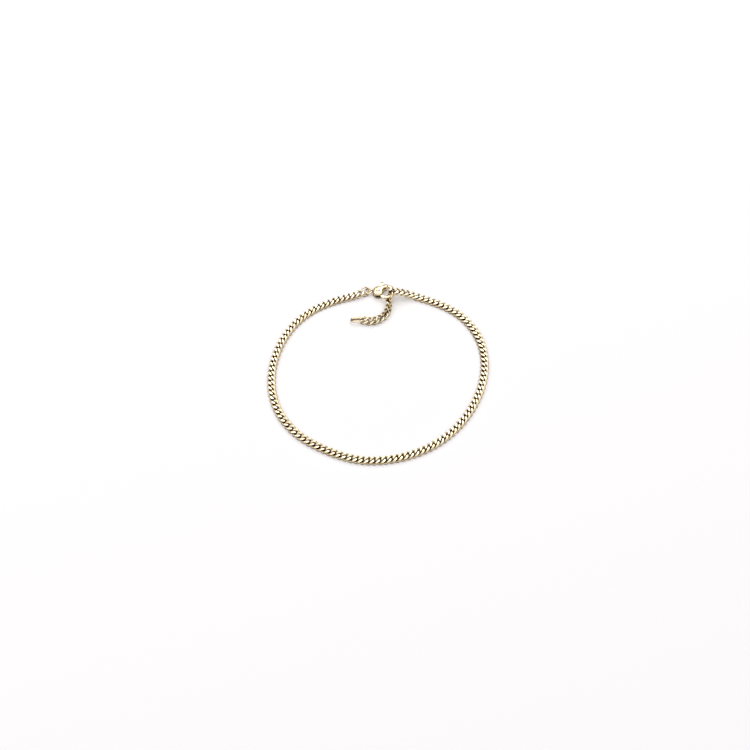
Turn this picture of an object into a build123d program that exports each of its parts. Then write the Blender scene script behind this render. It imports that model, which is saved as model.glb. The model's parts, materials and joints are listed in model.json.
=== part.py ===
import os
from math import copysign, cos, pi, radians, sin

from build123d import *

# Chain anklet: a flattened curb chain closed by a lobster clasp, with a short extender.
# All sizes in millimetres. The origin is on the surface that the anklet lies on, under the middle
# of its outline. +X is to the right, +Y is towards the clasp, +Z is up.

# Curb link: a long ring of wire, twisted along its length and filed flat above and below.
link_wire = 0.78
link_end_radius = 1.05
link_half_straight = 0.5
link_twist_rate = -38
link_flat_height = 0.72
link_pitch = 2.05
link_stations = 12
link_sides = 5

# Main chain: where its middle line runs round the ankle, by bearing from the loop's centre.
loop_centre = (0, -1.35)
lying_height = link_flat_height
loop_route = [
    # bearing, reach, height
    (101.7, 35.60, 1.30),
    (108.0, 35.50, 1.00),
    (118.0, 36.10, 0.76),
    (140.0, 38.00, lying_height),
    (160.0, 38.90, lying_height),
    (180.0, 39.60, lying_height),
    (200.0, 40.00, lying_height),
    (220.0, 38.90, lying_height),
    (240.0, 37.00, lying_height),
    (260.0, 36.40, lying_height),
    (280.0, 35.70, lying_height),
    (300.0, 35.70, lying_height),
    (320.0, 36.20, lying_height),
    (340.0, 37.30, lying_height),
    (360.0, 39.20, lying_height),
    (380.0, 40.70, lying_height),
    (400.0, 40.00, 0.73),
    (420.0, 37.40, 0.78),
    (428.0, 36.63, 1.17),
    (434.5, 35.82, 2.50),
    (440.5, 34.76, 3.84),
]

# Extender: the free tail, from the joining ring to its end link.
extender_route = [
    # x, y, height
    (4.00, 28.77, 1.80),
    (3.79, 26.79, 1.50),
    (3.13, 24.98, 1.40),
    (1.65, 23.02, 1.37),
    (-0.04, 21.84, 1.35),
    (-2.90, 21.09, 1.28),
    (-5.45, 21.42, 1.22),
]
extender_roll_start = -57
extender_roll_end = -19

# End link: a long oval of round wire.
end_link_half_length = 2.2
end_link_half_width = 1.15
end_link_wire = 0.8
end_link_place = (-8.18, 21.80, 0.97)
end_link_slope = 5.2
end_link_tilt = 22.9

# Rings: centre, and the bearing and rise of the ring's own axis.
jump_ring_radius = 1.55
jump_ring_wire = 0.56
jump_ring_centre = (-5.27, 34.52, 1.40)
jump_ring_bearing = 306
jump_ring_rise = 45

joining_ring_radius = 2.2
joining_ring_wire = 0.7
joining_ring_centre = (4.45, 31.41, 2.61)
joining_ring_bearing = 177
joining_ring_rise = 22

# Lobster clasp, measured from its rivet: x towards the hook's crown, y towards the thumb tab.
rivet_place = (-0.1, 34.5, 1.45)
clasp_turn = -7
clasp_pitch = 5
eye_distance = 3.8
eye_radius = 1.2
eye_wire = 0.68
cheek_radius = 2.15
cheek_centre = (0.1, -0.25)
root_radius = 1.0
root_centre = (2.75, 2.0)
body_thickness = 2.6
body_rounding = 0.4
neck_start = -2.55
neck_end = -1.2
neck_start_radius = 0.42
neck_end_radius = 1.15
hook_centre = (3.25, -0.15)
hook_radius = 2.55
hook_half_width = 0.72
hook_half_height = 0.75
hook_first_angle = -106
hook_last_angle = 105
slot_height = 1.1
slot_back = -1.7
slot_front = 2.2
slot_front_edge = 0.9
clasp_span = 8
lever_reach = 3.95
lever_gap = 0.15
lever_thickness = 0.9
lever_hub_radius = 1.2
gate_inner_radius = 2.15
gate_outer_radius = 3.05
gate_top = 0.4
tab_base_centre = (1.0, 1.9)
tab_base_radius = 1.05
tab_tip_centre = (1.1, 3.95)
tab_tip_radius = 0.42
rivet_radius = 0.45
rivet_bore_radius = 0.5
rivet_head_radius = 0.65
rivet_head_height = 0.2
rivet_head_rounding = 0.15
rivet_seat_gap = 0.02


def curb_link():
    """One faceted link: a five-sided wire round the long ring, then twisted and filed flat."""
    rings = []
    for station in range(link_stations):
        turn = 2 * pi * (station + 0.5) / link_stations
        ring = []
        for side in range(link_sides):
            angle = 2 * pi * side / link_sides
            reach = link_end_radius + link_wire / 2 * cos(angle)
            x = reach * cos(turn) + copysign(link_half_straight, cos(turn))
            y = reach * sin(turn)
            z = link_wire / 2 * sin(angle)
            twist = radians(link_twist_rate * x)
            height = y * sin(twist) + z * cos(twist)
            filed_height = max(-link_flat_height, min(link_flat_height, height))
            ring.append(Vector(x, y * cos(twist) - z * sin(twist), filed_height))
        rings.append(ring)
    faces = []
    for station in range(link_stations):
        this_ring = rings[station]
        next_ring = rings[(station + 1) % link_stations]
        for side in range(link_sides):
            next_side = (side + 1) % link_sides
            corners = [this_ring[side], next_ring[side], next_ring[next_side], this_ring[next_side]]
            faces.append(Face(Wire.make_polygon(corners[:3])))
            faces.append(Face(Wire.make_polygon([corners[0], corners[2], corners[3]])))
    return Solid(Shell(faces))


def chain_places(route, roll_start, roll_end):
    """Evenly spaced planes along a smooth route, one for each link."""
    with BuildLine() as line:
        Spline(*route)
    path = line.wire()
    steps = round(path.length / link_pitch)
    places = []
    for step in range(steps + 1):
        share = step / steps
        along = path.tangent_at(share)
        across = Vector(0, 0, 1).cross(along).normalized()
        roll = radians(roll_start + (roll_end - roll_start) * share)
        up = along.cross(across) * cos(roll) - across * sin(roll)
        places.append(Plane(origin=path.position_at(share), x_dir=along, z_dir=up))
    return places


def axis_plane(centre, bearing, rise):
    """A plane whose normal has the given bearing and rise."""
    flat = cos(radians(rise))
    normal = (flat * cos(radians(bearing)), flat * sin(radians(bearing)), sin(radians(rise)))
    side = (-sin(radians(bearing)), cos(radians(bearing)), 0)
    return Plane(origin=centre, x_dir=side, z_dir=normal)


def place_on(plane, x, y, z=0):
    """A point given in a plane's own measures."""
    return plane.origin + plane.x_dir * x + plane.y_dir * y + plane.z_dir * z


link = curb_link()

# Main chain: the loose links interlock all the way round.
loop_points = []
for bearing, reach, height in loop_route:
    x = loop_centre[0] + reach * cos(radians(bearing))
    y = loop_centre[1] + reach * sin(radians(bearing))
    loop_points.append((x, y, height))
with BuildPart() as main_chain:
    with Locations(*chain_places(loop_points, 0, 0)):
        add(link, clean=False)

# Extender chain: the same links, rolled on to their sides where they hang from the ring.
with BuildPart() as extender_chain:
    with Locations(*chain_places(extender_route, extender_roll_start, extender_roll_end)):
        add(link, clean=False)

# End link.
slope = radians(end_link_slope)
end_link_along = Vector(-cos(slope), 0, -sin(slope))
end_link_flat = Vector(0, -1, 0)
end_link_tilt_angle = radians(end_link_tilt)
end_link_up = end_link_along.cross(end_link_flat)
end_link_normal = end_link_up * cos(end_link_tilt_angle) - end_link_flat * sin(end_link_tilt_angle)
end_link_plane = Plane(origin=end_link_place, x_dir=end_link_along, z_dir=end_link_normal)
end_link_straight = end_link_half_length - end_link_half_width
with BuildPart() as end_link:
    with BuildLine(end_link_plane) as end_link_path:
        Line((-end_link_straight, end_link_half_width), (end_link_straight, end_link_half_width))
        ThreePointArc(
            (end_link_straight, end_link_half_width),
            (end_link_half_length, 0),
            (end_link_straight, -end_link_half_width),
        )
        Line((end_link_straight, -end_link_half_width), (-end_link_straight, -end_link_half_width))
        ThreePointArc(
            (-end_link_straight, -end_link_half_width),
            (-end_link_half_length, 0),
            (-end_link_straight, end_link_half_width),
        )
    end_link_start = Plane(
        origin=place_on(end_link_plane, 0, end_link_half_width),
        x_dir=end_link_plane.y_dir,
        z_dir=end_link_plane.x_dir,
    )
    with BuildSketch(end_link_start):
        Circle(end_link_wire / 2)
    sweep(path=end_link_path.wire())

# Jump ring, between the chain's first link and the clasp's eye.
jump_ring_plane = axis_plane(jump_ring_centre, jump_ring_bearing, jump_ring_rise)
with BuildPart() as jump_ring:
    with Locations(jump_ring_plane):
        Torus(jump_ring_radius, jump_ring_wire / 2)

# Joining ring, held in the clasp's hook, with the chain's last link and the extender on it.
joining_ring_plane = axis_plane(joining_ring_centre, joining_ring_bearing, joining_ring_rise)
with BuildPart() as joining_ring:
    with Locations(joining_ring_plane):
        Torus(joining_ring_radius, joining_ring_wire / 2)

# Clasp frame: turned on the surface, with its hook raised on the joining ring.
turn = radians(clasp_turn)
pitch = radians(clasp_pitch)
clasp_along = Vector(cos(turn) * cos(pitch), sin(turn) * cos(pitch), sin(pitch))
clasp_up = Vector(-cos(turn) * sin(pitch), -sin(turn) * sin(pitch), cos(pitch))
clasp_plane = Plane(origin=rivet_place, x_dir=clasp_along, z_dir=clasp_up)

# Clasp body: eye, neck, two cheeks with the lever's slot between them, and the hook.
with BuildPart() as clasp_body:
    with BuildSketch(clasp_plane.offset(-body_thickness / 2)):
        with Locations(cheek_centre):
            Circle(cheek_radius)
        with Locations(root_centre):
            Circle(root_radius)
        make_hull()
    extrude(amount=body_thickness)
    rims = clasp_body.faces().filter_by(lambda face: abs(face.normal_at().dot(clasp_up)) > 0.999)
    fillet(rims.edges(), body_rounding)
    with BuildSketch(clasp_plane.offset(-body_thickness)):
        with Locations(hook_centre):
            Circle(hook_radius - hook_half_width)
    extrude(amount=2 * body_thickness, mode=Mode.SUBTRACT)
    with BuildSketch(clasp_plane.offset(-slot_height / 2)):
        with BuildLine():
            Polyline(
                (slot_back, -clasp_span),
                (clasp_span, -clasp_span),
                (clasp_span, slot_front_edge),
                (slot_front, slot_front_edge),
                (slot_front, clasp_span),
                (slot_back, clasp_span),
                close=True,
            )
        make_face()
    extrude(amount=slot_height, mode=Mode.SUBTRACT)
    hook_axis = Axis(origin=place_on(clasp_plane, *hook_centre), direction=clasp_up)
    start = radians(hook_first_angle)
    hook_out = clasp_plane.x_dir * cos(start) + clasp_plane.y_dir * sin(start)
    hook_start = Plane(
        origin=place_on(clasp_plane, *hook_centre) + hook_out * hook_radius,
        x_dir=hook_out,
        z_dir=hook_out.cross(clasp_up),
    )
    with BuildSketch(hook_start):
        Ellipse(hook_half_width, hook_half_height)
    revolve(axis=hook_axis, revolution_arc=hook_last_angle - hook_first_angle)
    with BuildSketch(clasp_plane.offset(-body_thickness)):
        Circle(lever_reach + lever_gap)
        with Locations((0, -clasp_span)):
            Rectangle(2 * clasp_span, 2 * clasp_span, mode=Mode.INTERSECT)
        with Locations(cheek_centre):
            Circle(cheek_radius, mode=Mode.SUBTRACT)
    extrude(amount=2 * body_thickness, mode=Mode.SUBTRACT)
    neck_plane = Plane(origin=place_on(clasp_plane, neck_start, 0), x_dir=clasp_plane.y_dir, z_dir=clasp_along)
    with BuildSketch(neck_plane):
        Circle(neck_start_radius)
    with BuildSketch(neck_plane.offset(neck_end - neck_start)):
        Circle(neck_end_radius)
    loft()
    with BuildSketch(clasp_plane.offset(-body_thickness)):
        Circle(rivet_bore_radius)
    extrude(amount=2 * body_thickness, mode=Mode.SUBTRACT)
    eye_plane = Plane(origin=place_on(clasp_plane, -eye_distance, 0), x_dir=clasp_along, z_dir=clasp_up)
    with Locations(eye_plane):
        Torus(eye_radius, eye_wire / 2)

# Clasp lever: gate, hub and thumb tab in one piece, turning between the cheeks.
with BuildPart() as clasp_lever:
    with BuildSketch(clasp_plane.offset(-lever_thickness / 2)):
        with Locations(hook_centre):
            Circle(gate_outer_radius)
            Circle(gate_inner_radius, mode=Mode.SUBTRACT)
        with Locations((clasp_span, gate_top - clasp_span)):
            Rectangle(2 * clasp_span, 2 * clasp_span, mode=Mode.INTERSECT)
        Circle(lever_reach, mode=Mode.INTERSECT)
        Circle(lever_hub_radius)
    extrude(amount=lever_thickness)
    with BuildSketch(clasp_plane.offset(-lever_thickness / 2)):
        Circle(lever_hub_radius)
        with Locations(tab_base_centre):
            Circle(tab_base_radius)
        make_hull()
    extrude(amount=lever_thickness)
    with BuildSketch(clasp_plane.offset(-lever_thickness / 2)):
        with Locations(tab_base_centre):
            Circle(tab_base_radius)
        with Locations(tab_tip_centre):
            Circle(tab_tip_radius)
        make_hull()
    extrude(amount=lever_thickness)
    with BuildSketch(clasp_plane.offset(-body_thickness)):
        Circle(rivet_bore_radius)
    extrude(amount=2 * body_thickness, mode=Mode.SUBTRACT)

# Clasp pin: flush below, with a low domed head above.
with BuildPart() as clasp_pin:
    with BuildSketch(clasp_plane.offset(-body_thickness / 2)):
        Circle(rivet_radius)
    extrude(amount=body_thickness + rivet_seat_gap)
    with BuildSketch(clasp_plane.offset(body_thickness / 2 + rivet_seat_gap)):
        Circle(rivet_head_radius)
    extrude(amount=rivet_head_height)
    rim = clasp_pin.edges().filter_by(GeomType.CIRCLE).sort_by(Axis(rivet_place, clasp_up))[-1]
    fillet(rim, rivet_head_rounding)

os.makedirs("parts", exist_ok=True)
pieces = {
    "main_chain": main_chain,
    "extender_chain": extender_chain,
    "end_link": end_link,
    "jump_ring": jump_ring,
    "joining_ring": joining_ring,
    "clasp_body": clasp_body,
    "clasp_lever": clasp_lever,
    "clasp_pin": clasp_pin,
}
for name, piece in pieces.items():
    piece.part.label = name
    export_step(piece.part, f"parts/{name}.step", write_pcurves=False)
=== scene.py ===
import json
import math
import random

import bmesh
import bpy
import numpy as np
from mathutils import Matrix, Vector
from mathutils.bvhtree import BVHTree


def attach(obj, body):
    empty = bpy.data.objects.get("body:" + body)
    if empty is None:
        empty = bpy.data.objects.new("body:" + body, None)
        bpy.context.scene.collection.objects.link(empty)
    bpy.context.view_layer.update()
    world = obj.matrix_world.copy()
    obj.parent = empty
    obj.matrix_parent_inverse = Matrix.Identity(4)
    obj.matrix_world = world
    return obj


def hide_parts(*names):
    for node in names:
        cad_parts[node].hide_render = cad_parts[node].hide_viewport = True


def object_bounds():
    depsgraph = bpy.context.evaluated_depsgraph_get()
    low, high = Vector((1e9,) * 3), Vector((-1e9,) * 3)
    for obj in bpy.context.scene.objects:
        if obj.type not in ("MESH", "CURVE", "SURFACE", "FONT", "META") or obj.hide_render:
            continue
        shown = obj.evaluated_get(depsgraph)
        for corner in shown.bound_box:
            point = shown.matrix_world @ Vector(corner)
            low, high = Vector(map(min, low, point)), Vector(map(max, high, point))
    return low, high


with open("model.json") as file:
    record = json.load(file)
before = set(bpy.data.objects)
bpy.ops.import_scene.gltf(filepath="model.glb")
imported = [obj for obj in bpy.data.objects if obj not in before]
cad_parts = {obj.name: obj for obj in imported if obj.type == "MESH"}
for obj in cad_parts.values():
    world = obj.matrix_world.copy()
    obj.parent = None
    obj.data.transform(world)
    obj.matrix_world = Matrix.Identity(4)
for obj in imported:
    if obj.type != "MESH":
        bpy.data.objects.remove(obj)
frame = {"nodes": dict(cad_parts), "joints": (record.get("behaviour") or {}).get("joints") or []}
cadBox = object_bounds()
mm = 0.001
weld = 0.001  # millimetres: points nearer than this are one point
crispAngle = math.radians(40)  # an edge sharper than this stays crisp
# a color Mix node's sockets go by number, because its other kinds use the same names
mixA, mixB, mixResult = 6, 7, 2


def deselectAll():
    bpy.ops.object.select_all(action="DESELECT")


def makeActive(piece):
    deselectAll()
    piece.select_set(True)
    bpy.context.view_layer.objects.active = piece


def pickVerts(piece, test):
    # leaves the piece in edit mode with only the vertices that pass the test selected
    makeActive(piece)
    bpy.ops.object.mode_set(mode="EDIT")
    bpy.ops.mesh.select_mode(type="VERT")
    bpy.ops.mesh.select_all(action="DESELECT")
    bpy.ops.object.mode_set(mode="OBJECT")
    for vert in piece.data.vertices:
        vert.select = test(vert.co)
    bpy.ops.object.mode_set(mode="EDIT")


def slicePiece(piece, point, normal, **settings):
    makeActive(piece)
    bpy.ops.object.mode_set(mode="EDIT")
    bpy.ops.mesh.select_all(action="SELECT")
    bpy.ops.mesh.bisect(plane_co=point, plane_no=normal, **settings)
    bpy.ops.object.mode_set(mode="OBJECT")


def pullEnds(ring, straight):
    # draws a round ring out along x into an oval with straight sides
    middle = straight / 100  # points nearer the middle than this stay
    for side in (-1, 1):
        pickVerts(ring, lambda co: co.x * side > middle)
        bpy.ops.transform.translate(value=(side * straight, 0, 0))
        bpy.ops.object.mode_set(mode="OBJECT")


def applyModifier(piece, kind, **settings):
    makeActive(piece)
    modifier = piece.modifiers.new(kind.lower(), kind)
    for name, value in settings.items():
        setattr(modifier, name, value)
    bpy.ops.object.modifier_apply(modifier=modifier.name)


def joinPieces(pieces, name):
    deselectAll()
    for piece in pieces:
        piece.select_set(True)
    bpy.context.view_layer.objects.active = pieces[0]
    bpy.ops.object.join()
    joined = bpy.context.object
    joined.name = name
    joined.data.name = name
    return joined


def finishPiece(piece, body, slotName, material, *nodes):
    piece.data.materials.clear()
    piece.data.materials.append(material)
    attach(piece, body)
    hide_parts(*nodes)


def addNode(tree, kind, **settings):
    # each setting is the value of a socket or, if there is none of that name, of the node
    node = tree.nodes.new(kind)
    for name, value in settings.items():
        if name in node.inputs:
            node.inputs[name].default_value = value
        else:
            setattr(node, name, value)
    return node


def addRange(tree, value, low, high, **settings):
    # maps what a socket puts out, from low to high
    node = addNode(tree, "ShaderNodeMapRange", **settings)
    node.inputs["From Min"].default_value = low
    node.inputs["From Max"].default_value = high
    tree.links.new(value, node.inputs["Value"])
    return node


polish = {
    "hazeDetail": 3,
    "hazeRange": (0.35, 0.75),  # noise that gives the smooth and the hazy finish
    "scratchDetail": 2,
    "scratchStretch": (1.0, 0.5, 1.0),
    "scratchTurn": (0.3, 0.2, 0.7),
    "scratchDepth": 0.02 * mm,
    "middleTone": 0.5,  # the tone that leaves the gold as it is
}


def makePolishAndShadeGroup():
    # fine polishing haze, soft tone changes and painted shade that darkens the crevices
    tree = bpy.data.node_groups.new("hand polish and painted shade", "ShaderNodeTree")
    for name in ("Gold", "Painted Shade Gold"):
        tree.interface.new_socket(name, in_out="INPUT", socket_type="NodeSocketColor")
    for name in ("Painted Shade", "Tone", "Tone Swing", "Haze Scale", "Scratch Scale", "Smooth", "Hazy"):
        tree.interface.new_socket(name, in_out="INPUT", socket_type="NodeSocketFloat")
    tree.interface.new_socket("Color", in_out="OUTPUT", socket_type="NodeSocketColor")
    for name in ("Roughness", "Height"):
        tree.interface.new_socket(name, in_out="OUTPUT", socket_type="NodeSocketFloat")
    given = tree.nodes.new("NodeGroupInput")
    out = tree.nodes.new("NodeGroupOutput")

    place = addNode(tree, "ShaderNodeTexCoord")
    haze = addNode(tree, "ShaderNodeTexNoise", Detail=polish["hazeDetail"])
    tree.links.new(place.outputs["Object"], haze.inputs["Vector"])
    tree.links.new(given.outputs["Haze Scale"], haze.inputs["Scale"])
    rough = addRange(tree, haze.outputs["Fac"], *polish["hazeRange"])
    tree.links.new(given.outputs["Smooth"], rough.inputs["To Min"])
    tree.links.new(given.outputs["Hazy"], rough.inputs["To Max"])
    tree.links.new(rough.outputs[0], out.inputs["Roughness"])

    stretch = addNode(tree, "ShaderNodeMapping", Scale=polish["scratchStretch"],
                      Rotation=polish["scratchTurn"])
    scratch = addNode(tree, "ShaderNodeTexNoise", Detail=polish["scratchDetail"])
    tree.links.new(place.outputs["Object"], stretch.inputs["Vector"])
    tree.links.new(stretch.outputs["Vector"], scratch.inputs["Vector"])
    tree.links.new(given.outputs["Scratch Scale"], scratch.inputs["Scale"])
    tree.links.new(scratch.outputs["Fac"], out.inputs["Height"])

    # the gold times 1 + (tone - middle tone) * swing
    swing = addNode(tree, "ShaderNodeMath", operation="SUBTRACT")
    swing.inputs[1].default_value = polish["middleTone"]
    tree.links.new(given.outputs["Tone"], swing.inputs[0])
    amount = addNode(tree, "ShaderNodeMath", operation="MULTIPLY_ADD")
    amount.inputs[2].default_value = 1.0
    tree.links.new(swing.outputs[0], amount.inputs[0])
    tree.links.new(given.outputs["Tone Swing"], amount.inputs[1])
    tinted = addNode(tree, "ShaderNodeVectorMath", operation="SCALE")
    tree.links.new(given.outputs["Gold"], tinted.inputs[0])
    tree.links.new(amount.outputs[0], tinted.inputs["Scale"])
    # painted shade: the colour turns towards the dark crevice colour as the painted shade
    # attribute rises
    color = addNode(tree, "ShaderNodeMix", data_type="RGBA")
    tree.links.new(given.outputs["Painted Shade"], color.inputs["Factor"])
    tree.links.new(tinted.outputs[0], color.inputs[mixA])
    tree.links.new(given.outputs["Painted Shade Gold"], color.inputs[mixB])
    tree.links.new(color.outputs[mixResult], out.inputs["Color"])
    return tree


polishAndShadeGroup = makePolishAndShadeGroup()


def makeGold(name, look):
    material = bpy.data.materials.new(name)
    material.use_nodes = True
    tree = material.node_tree
    shader = tree.nodes["Principled BSDF"]
    shader.inputs["Metallic"].default_value = 1.0
    shader.inputs["Specular Tint"].default_value = look["edgeTint"]
    finish = addNode(tree, "ShaderNodeGroup")
    finish.node_tree = polishAndShadeGroup
    finish.inputs["Gold"].default_value = look["gold"]
    finish.inputs["Painted Shade Gold"].default_value = look["paintedShadeGold"]
    finish.inputs["Tone Swing"].default_value = look["toneSwing"]
    finish.inputs["Haze Scale"].default_value = look["hazeScale"]
    finish.inputs["Scratch Scale"].default_value = look["scratchScale"]
    finish.inputs["Smooth"].default_value = look["smooth"]
    finish.inputs["Hazy"].default_value = look["hazy"]
    for attribute, socket in (("painted_shade", "Painted Shade"), ("tone", "Tone")):
        painted = addNode(tree, "ShaderNodeAttribute", attribute_name=attribute)
        tree.links.new(painted.outputs["Fac"], finish.inputs[socket])
    tree.links.new(finish.outputs["Color"], shader.inputs["Base Color"])
    tree.links.new(finish.outputs["Roughness"], shader.inputs["Roughness"])
    bump = addNode(tree, "ShaderNodeBump", Strength=look["scratchBump"],
                   Distance=polish["scratchDepth"])
    tree.links.new(finish.outputs["Height"], bump.inputs["Height"])
    tree.links.new(bump.outputs["Normal"], shader.inputs["Normal"])
    return material


chainGoldLook = {
    "gold": (0.97, 0.82, 0.555, 1),
    # the dark colour of the painted shade in the crevices
    "paintedShadeGold": (0.10, 0.045, 0.006, 1),
    "edgeTint": (0.4, 0.31, 0.18, 1),
    "toneSwing": 0.2,
    "hazeScale": 900,
    "scratchScale": 9000,
    "smooth": 0.07,
    "hazy": 0.2,
    "scratchBump": 0.12,
}
claspGoldLook = {
    **chainGoldLook,
    "edgeTint": (0.2, 0.14, 0.07, 1),
    "toneSwing": 0.1,
    "hazeScale": 500,
    "scratchScale": 6000,
    "smooth": 0.09,
    "scratchBump": 0.05,
}
chainGold = makeGold("chain gold", chainGoldLook)
claspGold = makeGold("clasp gold", claspGoldLook)
print("materials made")

# painted shade in the crevices, baked from rays that the surroundings block
shading = {
    "rays": 40,
    "reach": 2.0 * mm,  # nothing farther away darkens a crevice
    "lift": 0.01 * mm,
    "open": 0.3,  # share of the view blocked where darkening starts
    "closed": 0.6,  # and where it is complete
}


def roundDirections(count):
    # evenly spread directions on a golden spiral
    directions = []
    for index in range(count):
        height = 1 - (2 * index + 1) / count
        turn = index * math.pi * (3 - math.sqrt(5))
        flat = math.sqrt(1 - height * height)
        directions.append(Vector((flat * math.cos(turn), flat * math.sin(turn), height)))
    return directions


def paintCreviceShade(piece, surroundings, isFlat=lambda face: False):
    # paints shade: the attribute grows where the faces of the surroundings hide the sky, like
    # baked occlusion; filed flats stay bright
    directions = roundDirections(shading["rays"])
    values = []
    for vert in piece.data.vertices:
        start = vert.co + vert.normal * shading["lift"]
        total = blocked = 0
        for direction in directions:
            facing = direction.dot(vert.normal)
            if facing > 0:
                total += facing
                if surroundings.ray_cast(start, direction, shading["reach"])[0] is not None:
                    blocked += facing
        share = (blocked / total - shading["open"]) / (shading["closed"] - shading["open"])
        values.append(min(1.0, max(0.0, share)))
    painted_shade = piece.data.attributes.new("painted_shade", "FLOAT", "CORNER")
    for face in piece.data.polygons:
        flat = isFlat(face)
        for corner, vert in zip(face.loop_indices, face.vertices):
            painted_shade.data[corner].value = 0.0 if flat else values[vert]


def surroundingsOf(pieces, shifts=(Vector((0, 0, 0)),)):
    # the faces of the pieces, repeated at each shift, ready for casting rays
    corners, faces = [], []
    for piece in pieces:
        for shift in shifts:
            first = len(corners)
            corners += [vert.co + shift for vert in piece.data.vertices]
            faces += [[first + vert for vert in face.vertices] for face in piece.data.polygons]
    return BVHTree.FromPolygons(corners, faces)


curbLink = {
    "endRadius": 1.05 * mm,
    "straight": 0.50 * mm,  # half of the straight side
    "wire": 0.84 * mm,
    "twist": -38 / mm,  # degrees along the link
    "flatHeight": 0.72 * mm,
    "flatShare": 0.99,  # a face centred above this share of the height is a filed flat
    "around": 40,
    "straightCuts": 9,
    "wireSides": 12,
    "pitch": 2.05 * mm,
    "neighbours": 2,  # links on each side that darken a link's crevices
}


def makeCurbLink():
    size = curbLink
    deselectAll()
    bpy.ops.mesh.primitive_torus_add(
        major_segments=size["around"], minor_segments=size["wireSides"],
        major_radius=size["endRadius"], minor_radius=size["wire"] / 2, location=(0, 0, 0))
    link = bpy.context.object
    pullEnds(link, size["straight"])
    for cut in range(1, size["straightCuts"]):
        across = size["straight"] * (2 * cut / size["straightCuts"] - 1)
        slicePiece(link, (across, 0, 0), (1, 0, 0))
    applyModifier(link, "SIMPLE_DEFORM", deform_method="TWIST", deform_axis="X",
                  angle=math.radians(size["twist"]) * link.dimensions.x)
    for side in (-1, 1):
        slicePiece(link, (0, 0, side * size["flatHeight"]), (0, 0, side), clear_outer=True,
                   use_fill=True)
    bpy.ops.object.shade_smooth_by_angle(angle=crispAngle)
    # painted shade: the link's crevices darken where its neighbours in a straight chain hide the
    # sky
    row = range(-size["neighbours"], size["neighbours"] + 1)
    nearLinks = surroundingsOf([link], [Vector((step * size["pitch"], 0, 0)) for step in row])
    paintCreviceShade(link, nearLinks,
                  lambda face: abs(face.center.z) > size["flatHeight"] * size["flatShare"])
    return link


def linkPlaces(nodeName):
    # every link is a loose island of the node's mesh: its long axis is x, its thin axis z
    shape = bmesh.new()
    shape.from_mesh(frame["nodes"][nodeName].data)
    bmesh.ops.remove_doubles(shape, verts=shape.verts, dist=weld * mm)
    reached = set()
    places = []
    for start in shape.verts:
        if start in reached:
            continue
        reached.add(start)
        island = [start]
        for vert in island:
            for edge in vert.link_edges:
                near = edge.other_vert(vert)
                if near not in reached:
                    reached.add(near)
                    island.append(near)
        points = np.array([vert.co for vert in island])
        centre = points.mean(axis=0)
        axes = np.linalg.eigh(np.cov((points - centre).T))[1]
        along, across = Vector(axes[:, 2]), Vector(axes[:, 0])
        place = Matrix((along, across.cross(along), across)).transposed().to_4x4()
        place.translation = centre
        places.append(place)
    shape.free()
    return places


chains = {
    "main_chain": {"name": "curb_chain", "toneSeed": 3},
    "extender_chain": {"name": "extender_links", "toneSeed": 5},
}


def layChain(link, nodeName, size):
    # one mesh of copies of the link, each with its own slight tone
    tones = random.Random(size["toneSeed"])
    copies = []
    for place in linkPlaces(nodeName):
        copy = link.copy()
        copy.data = link.data.copy()
        copy.data.transform(place)
        tone = copy.data.attributes.new("tone", "FLOAT", "POINT")
        tone.data.foreach_set("value", [tones.random()] * len(copy.data.vertices))
        bpy.context.scene.collection.objects.link(copy)
        copies.append(copy)
    return joinPieces(copies, size["name"])


oneLink = makeCurbLink()
laidChains = []
for nodeName, size in chains.items():
    chain = layChain(oneLink, nodeName, size)
    finishPiece(chain, "anklet", "chain_gold", chainGold, nodeName)
    laidChains.append(chain)
    print(size["name"], len(chain.data.polygons))
bpy.data.objects.remove(oneLink)


# Everything below is shaped in millimetres and scaled when it is put in place.
throughAll = 16  # longer than any cut
plateRim = {
    "around": 96,
    "steps": 6,
    "leastRadius": 0.05,
}
meltShare = 0.5  # how far a point moves towards its neighbours in one softening


def addShape(kind, place=(0, 0, 0), **settings):
    deselectAll()
    getattr(bpy.ops.mesh, f"primitive_{kind}_add")(location=place, **settings)
    bpy.ops.object.transform_apply(location=True, rotation=True, scale=True)
    return bpy.context.object


def addBar(sides, radius, place=(0, 0, 0), depth=throughAll):
    return addShape("cylinder", place, vertices=sides, radius=radius, depth=depth)


def hullOf(*discs, depth, inset=0, rise=0):
    # a plate round discs given as x, y and radius; its rims round off over inset and rise
    rims = []
    for x, y, radius in discs:
        for step in range(plateRim["steps"] + 1):
            turn = math.pi / 2 * step / plateRim["steps"]
            height = depth / 2 - rise + rise * math.sin(turn)
            reach = max(radius - inset * (1 - math.cos(turn)), plateRim["leastRadius"])
            for side in (-1, 1):
                rims.append(addShape("circle", (x, y, side * height),
                                     vertices=plateRim["around"], radius=reach))
    plate = joinPieces(rims, "plate")
    bpy.ops.object.mode_set(mode="EDIT")
    bpy.ops.mesh.select_all(action="SELECT")
    bpy.ops.mesh.convex_hull()
    bpy.ops.mesh.normals_make_consistent(inside=False)
    bpy.ops.object.mode_set(mode="OBJECT")
    return plate


def cutBy(piece, cutter, keep=False, operation="DIFFERENCE"):
    applyModifier(piece, "BOOLEAN", operation=operation, object=cutter, solver="EXACT")
    if not keep:
        bpy.data.objects.remove(cutter)


def fuse(pieces, name, size):
    # melts overlapping shapes into one skin with small soft fillets
    fused = joinPieces(pieces, name)
    applyModifier(fused, "REMESH", mode="VOXEL", voxel_size=size["voxel"])
    applyModifier(fused, "SMOOTH", factor=meltShare, iterations=size["softening"])
    applyModifier(fused, "DECIMATE", ratio=size["faces"])
    makeActive(fused)
    bpy.ops.object.shade_smooth()
    return fused


def putInPlace(piece, place):
    tone = piece.data.attributes.new("tone", "FLOAT", "POINT")
    tone.data.foreach_set("value", [polish["middleTone"]] * len(piece.data.vertices))
    piece.data.transform(place @ Matrix.Scale(mm, 4))


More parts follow.
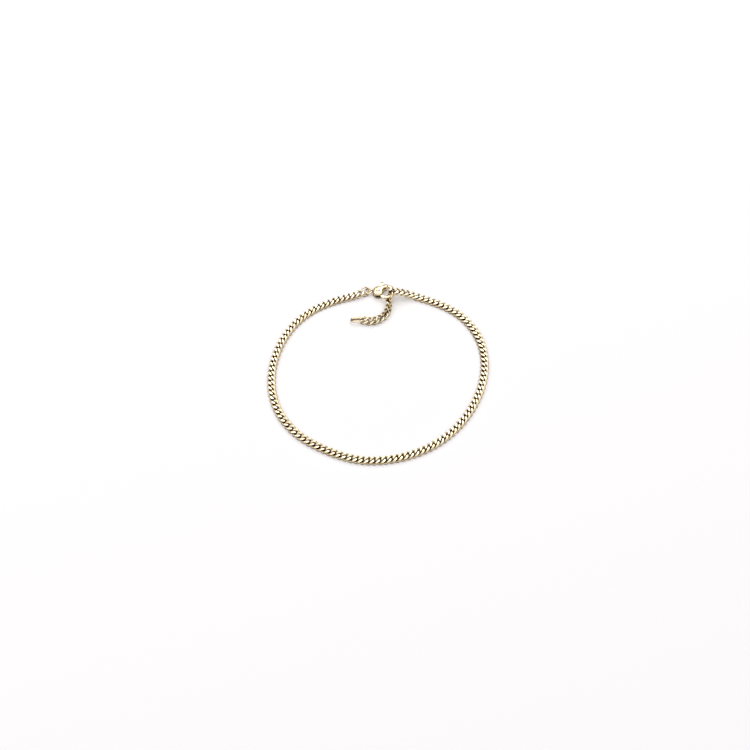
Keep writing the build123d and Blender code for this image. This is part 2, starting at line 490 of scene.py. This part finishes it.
clasp = {
    "turn": -7,  # degrees from +X, the way the hook points
    "voxel": 0.05,
    "softening": 6,
    "faces": 0.35,  # share of the fused skin's faces that is kept
    "thickness": 2.6,
    "cheek": (0.1, -0.25, 2.15),  # x, y and radius
    "root": (2.75, 2.0, 1.0),
    "rimInset": 1.15,
    "rimRise": 0.8,
    "slotHeight": 1.1,
    "slotBack": -0.975,
    "slotFront": 2.925,
    "hook": (3.25, -0.15, 2.55),
    "hookWire": 0.74,
    "hookSides": 24,
    "hookStart": -106,
    "hookEnd": 105,
    "hookSteps": 60,
    "hookHoleSides": 96,
    "tipShare": 0.8,  # share of the full wire left at the tip
    "taperSteps": 18,
    "leverReach": 4.1,
    "reachSides": 128,
    "neck": (-2.55, -1.2, 0.42, 1.15),  # from x to x, from radius to radius
    "neckSides": 48,
    "eye": (-3.8, 1.2, 0.34),  # x, radius and wire radius
    "eyeAround": 72,
    "eyeSides": 20,
    "bore": 0.5,
    "boreSides": 48,
    "countersink": 0.88,
    "countersinkDepth": 0.14,
    "countersinkSides": 64,
}


def claspPlace():
    hinge = frame["joints"][0]
    up = Vector(hinge["axis"]).normalized()
    turn = math.radians(clasp["turn"])
    along = Vector((math.cos(turn), math.sin(turn), 0))
    along = (along - up * along.dot(up)).normalized()
    place = Matrix((along, up.cross(along), up)).transposed().to_4x4()
    place.translation = Vector(hinge["pos_m"])
    return place


def bentWire(radius, wire, sides, start, end, steps):
    # a round wire bent round the z axis from one bearing to another, its ends closed
    bent = addShape("circle", (radius, 0, 0), vertices=sides, radius=wire, fill_type="NGON",
                    rotation=(math.pi / 2, 0, 0))
    bpy.ops.object.mode_set(mode="EDIT")
    bpy.ops.mesh.select_all(action="SELECT")
    bpy.ops.transform.rotate(value=math.radians(start), orient_axis="Z",
                             center_override=(0, 0, 0))
    bpy.ops.mesh.spin(steps=steps, angle=math.radians(end - start), center=(0, 0, 0),
                      axis=(0, 0, 1))
    bpy.ops.mesh.select_all(action="SELECT")
    bpy.ops.mesh.remove_doubles(threshold=weld)
    bpy.ops.mesh.normals_make_consistent(inside=False)
    bpy.ops.object.mode_set(mode="OBJECT")
    return bent


def makeHook():
    size = clasp
    x, y, radius = size["hook"]
    hook = bentWire(radius, size["hookWire"], size["hookSides"], size["hookStart"],
                    size["hookEnd"], size["hookSteps"])
    step = (size["hookEnd"] - size["hookStart"]) / size["hookSteps"]
    near = math.radians(step / 4)  # picks one ring of the wire and not the next
    for ring in range(size["taperSteps"]):
        bearing = math.radians(size["hookStart"] + ring * step)
        out = Vector((math.cos(bearing), math.sin(bearing), 0))
        share = size["tipShare"] + (1 - size["tipShare"]) * ring / size["taperSteps"]
        pickVerts(hook, lambda co: abs(math.remainder(
            math.atan2(co.y, co.x) - bearing, 2 * math.pi)) < near)
        bpy.ops.transform.resize(value=(share,) * 3, center_override=out * radius)
        bpy.ops.object.mode_set(mode="OBJECT")
    hook.data.transform(Matrix.Translation((x, y, 0)))
    sweep = addBar(size["reachSides"], size["leverReach"])
    slicePiece(sweep, (0, 0, 0), (0, 1, 0), clear_outer=True, use_fill=True)
    cutBy(hook, sweep)
    return hook


def makeClaspBody():
    size = clasp
    cheeks = hullOf(size["cheek"], size["root"], depth=size["thickness"],
                    inset=size["rimInset"], rise=size["rimRise"])
    x, y, radius = size["hook"]
    cutBy(cheeks, addBar(size["hookHoleSides"], radius - size["hookWire"], (x, y, 0)))
    back, front = size["slotBack"], size["slotFront"]
    cutBy(cheeks, addShape("cube", ((back + front) / 2, 0, 0), size=1,
                           scale=(front - back, throughAll, size["slotHeight"])))
    cutBy(cheeks, addBar(size["boreSides"], size["bore"]))
    top = size["thickness"] / 2 - size["countersinkDepth"] + throughAll / 2
    cutBy(cheeks, addBar(size["countersinkSides"], size["countersink"], (0, 0, top)))
    low, high, lowRadius, highRadius = size["neck"]
    neck = addShape("cone", ((low + high) / 2, 0, 0), vertices=size["neckSides"],
                    radius1=lowRadius, radius2=highRadius, depth=high - low,
                    rotation=(0, math.pi / 2, 0))
    x, radius, wire = size["eye"]
    eye = addShape("torus", (x, 0, 0), major_segments=size["eyeAround"],
                   minor_segments=size["eyeSides"], major_radius=radius, minor_radius=wire)
    body = fuse([cheeks, makeHook(), neck, eye], "lobster_clasp", size)
    putInPlace(body, claspPlace())
    return body


claspBody = makeClaspBody()
finishPiece(claspBody, "anklet", "clasp_gold", claspGold, "clasp_body")
print("clasp body", len(claspBody.data.polygons))

lever = {
    "voxel": 0.04,
    "softening": 5,
    "faces": 0.4,
    "thickness": 0.9,
    "hub": (0, 0, 1.2),
    "tabBase": (0.8, 1.9, 1.3),
    "tabTip": (1.1, 3.85, 0.5),
    "knob": (1.08, 3.65, 0.6),
    "knobRise": 1.05,
    "knobSides": (32, 20),
    "gateInner": 2.15,
    "gateOuter": 3.05,
    "gateSides": 128,
    "reach": 3.95,
    "rim": 0.2,
    "rimSegments": 4,
    "rimAngle": 50,  # degrees; a gate edge sharper than this is rounded
}


def makeLever():
    size = lever
    x, y, radius = clasp["hook"]
    gate = addBar(size["gateSides"], size["gateOuter"], (x, y, 0), size["thickness"])
    cutBy(gate, addBar(size["gateSides"], size["gateInner"], (x, y, 0)))
    cutBy(gate, addBar(size["gateSides"], size["reach"]), operation="INTERSECT")
    applyModifier(gate, "BEVEL", width=size["rim"], segments=size["rimSegments"],
                  limit_method="ANGLE", angle_limit=math.radians(size["rimAngle"]))
    rims = {"depth": size["thickness"], "inset": size["rim"], "rise": size["rim"]}
    parts = [gate, hullOf(size["hub"], size["tabBase"], **rims),
             hullOf(size["tabBase"], size["tabTip"], **rims)]
    bore = addBar(clasp["boreSides"], clasp["bore"])
    for part in parts:
        cutBy(part, bore, keep=True)
    bpy.data.objects.remove(bore)
    x, y, radius = size["knob"]
    segments, ringCount = size["knobSides"]
    knob = addShape("uv_sphere", (x, y, 0), segments=segments, ring_count=ringCount, radius=radius)
    knob.scale = (1, 1, size["knobRise"])
    made = fuse(parts + [knob], "clasp_gate", size)
    putInPlace(made, claspPlace())
    return made


claspLever = makeLever()
finishPiece(claspLever, "lever", "clasp_gold", claspGold, "clasp_lever")
print("clasp lever", len(claspLever.data.polygons))

rings = {
    "jump_ring": {"name": "jump_loop", "radius": 1.55, "wire": 0.28, "seam": 3, "from": 200},
    "joining_ring": {"name": "joining_loop", "radius": 2.2, "wire": 0.35, "seam": 2, "from": 90},
}
ringWire = {
    "sides": 16,
    "steps": 72,
    "rim": 0.04,
    "rimSegments": 2,
    "rimAngle": 60,  # degrees; only the rims of the cut ends are sharper
}


def makeRing(nodeName, size):
    # a ring of round wire whose cut ends almost meet
    ring = bentWire(size["radius"], size["wire"], ringWire["sides"], size["from"],
                    size["from"] + 360 - size["seam"], ringWire["steps"])
    applyModifier(ring, "BEVEL", width=ringWire["rim"], segments=ringWire["rimSegments"],
                  limit_method="ANGLE", angle_limit=math.radians(ringWire["rimAngle"]))
    bpy.ops.object.shade_smooth_by_angle(angle=crispAngle)
    putInPlace(ring, linkPlaces(nodeName)[0])
    ring.name = size["name"]
    return ring


smallPieces = [claspBody]
for nodeName, size in rings.items():
    ring = makeRing(nodeName, size)
    finishPiece(ring, "anklet", "ring_gold", claspGold, nodeName)
    smallPieces.append(ring)

endLink = {
    "endRadius": 1.18,
    "straight": 1.05,  # half of the straight side
    "wire": 0.34,
    "around": 64,
    "wireSides": 20,
}


def makeEndLink():
    size = endLink
    link = addShape("torus", major_segments=size["around"], minor_segments=size["wireSides"],
                    major_radius=size["endRadius"], minor_radius=size["wire"])
    pullEnds(link, size["straight"])
    bpy.ops.object.shade_smooth()
    putInPlace(link, linkPlaces("end_link")[0])
    link.name = "end_oval"
    return link


endOval = makeEndLink()
finishPiece(endOval, "anklet", "ring_gold", claspGold, "end_link")
smallPieces.append(endOval)
pin = frame["nodes"]["clasp_pin"]
pin.data.materials.clear()
pin.data.materials.append(claspGold)
print("rings and end link made")

# painted shade in the crevices of the clasp, rings and end link, from everything round them
everything = surroundingsOf(smallPieces + [claspLever, *laidChains, pin])
for piece in smallPieces:
    paintCreviceShade(piece, everything)
# the lever swings out of its slot, so only its own shape sets its painted shade
paintCreviceShade(claspLever, surroundingsOf([claspLever]))
print("crevices painted")


studio = {
    "floorSize": 3.0,
    "floorColor": (0.9, 0.885, 0.895, 1),
    "floorRoughness": 0.9,
    "floorGlow": 0.12,
    # painted contact shadow: near the wire the floor turns warm and dark and its glow dims; the
    # warmth is a painted reflection of the gold
    "paintedShadowReach": 0.7 * mm,  # this near the wire the floor takes its warm dark tint
    "paintedShadowFading": (0.4, 0.95),
    "paintedShadowColor": (0.17, 0.08, 0.02, 1),
    "domeColor": (1.08, 1.08, 1.08, 1),
    "bandColor": (0.032, 0.016, 0.004, 1),  # the dark room round the dome
    "bandTop": 0.5,  # sine of the height where the dome begins
    "bandBlur": 0.1,
    "backdrop": (0.93, 0.93, 0.94, 1),
    "cameraLens": 53.5,
    "cameraClip": (0.01, 20),
    "cameraRise": 60,  # degrees above the floor
    "cameraDistance": 0.4137,
    "lookAt": (-0.00135, -0.00194, 0),
}


def makeFloor():
    deselectAll()
    low = cadBox[0].z
    bpy.ops.mesh.primitive_plane_add(size=studio["floorSize"], location=(0, 0, low))
    floor = bpy.context.object
    floor.name = "floor"
    material = bpy.data.materials.new("pale floor")
    material.use_nodes = True
    tree = material.node_tree
    shader = tree.nodes["Principled BSDF"]
    shader.inputs["Roughness"].default_value = studio["floorRoughness"]
    # painted contact shadow: occlusion near the wire darkens and warms the floor colour and dims
    # its glow, the warmth a painted reflection of the gold
    closeness = addNode(tree, "ShaderNodeAmbientOcclusion", Distance=studio["paintedShadowReach"])
    fading = addRange(tree, closeness.outputs["AO"], *studio["paintedShadowFading"],
                      interpolation_type="SMOOTHSTEP")
    paintedContactShadow = addNode(tree, "ShaderNodeMix", data_type="RGBA")
    paintedContactShadow.inputs[mixA].default_value = studio["paintedShadowColor"]
    paintedContactShadow.inputs[mixB].default_value = studio["floorColor"]
    glow = addNode(tree, "ShaderNodeMath", operation="MULTIPLY")
    glow.inputs[1].default_value = studio["floorGlow"]
    tree.links.new(fading.outputs["Result"], paintedContactShadow.inputs["Factor"])
    tree.links.new(fading.outputs["Result"], glow.inputs[0])
    tree.links.new(paintedContactShadow.outputs[mixResult], shader.inputs["Base Color"])
    tree.links.new(paintedContactShadow.outputs[mixResult], shader.inputs["Emission Color"])
    tree.links.new(glow.outputs["Value"], shader.inputs["Emission Strength"])
    floor.data.materials.append(material)


def aimAt(thing, spot):
    direction = Vector(spot) - thing.location
    thing.rotation_euler = direction.to_track_quat("-Z", "Y").to_euler()


softboxes = {
    "back": {"place": (0.10, 0.45, 0.55), "size": (0.6, 0.45), "power": 1.1},
    "left": {"place": (-0.55, 0.1, 0.45), "size": (0.15, 0.35), "power": 0.5},
}


def makeSoftbox(name, box):
    light = bpy.data.lights.new(name, "AREA")
    light.shape = "RECTANGLE"
    light.size, light.size_y = box["size"]
    light.energy = box["power"]
    lamp = bpy.data.objects.new(name, light)
    lamp.location = box["place"]
    aimAt(lamp, (0, 0, 0))
    bpy.context.scene.collection.objects.link(lamp)


def makeWorld():
    # a bright dome overhead, a dark band near the horizon for the metal to mirror
    world = bpy.data.worlds.new("studio")
    world.use_nodes = True
    tree = world.node_tree
    glow = tree.nodes["Background"]
    place = addNode(tree, "ShaderNodeTexCoord")
    split = addNode(tree, "ShaderNodeSeparateXYZ")
    tree.links.new(place.outputs["Generated"], split.inputs[0])
    edge = addRange(tree, split.outputs["Z"], studio["bandTop"] - studio["bandBlur"],
                    studio["bandTop"] + studio["bandBlur"])
    dome = addNode(tree, "ShaderNodeMix", data_type="RGBA")
    dome.inputs[mixA].default_value = studio["bandColor"]
    dome.inputs[mixB].default_value = studio["domeColor"]
    tree.links.new(edge.outputs[0], dome.inputs["Factor"])
    path = addNode(tree, "ShaderNodeLightPath")
    seen = addNode(tree, "ShaderNodeMix", data_type="RGBA")
    seen.inputs[mixB].default_value = studio["backdrop"]
    tree.links.new(path.outputs["Is Camera Ray"], seen.inputs["Factor"])
    tree.links.new(dome.outputs[mixResult], seen.inputs[mixA])
    tree.links.new(seen.outputs[mixResult], glow.inputs["Color"])
    bpy.context.scene.world = world


def makeCamera():
    camera = bpy.data.objects.new("camera", bpy.data.cameras.new("camera"))
    camera.data.lens = studio["cameraLens"]
    camera.data.clip_start, camera.data.clip_end = studio["cameraClip"]
    rise = math.radians(studio["cameraRise"])
    back = Vector((0, -math.cos(rise), math.sin(rise)))
    camera.location = Vector(studio["lookAt"]) + back * studio["cameraDistance"]
    aimAt(camera, studio["lookAt"])
    bpy.context.scene.collection.objects.link(camera)
    bpy.context.scene.camera = camera


makeFloor()
for boxName, box in softboxes.items():
    makeSoftbox(boxName, box)
makeWorld()
makeCamera()
bpy.context.scene.view_settings.view_transform = "Standard"
print("studio ready")
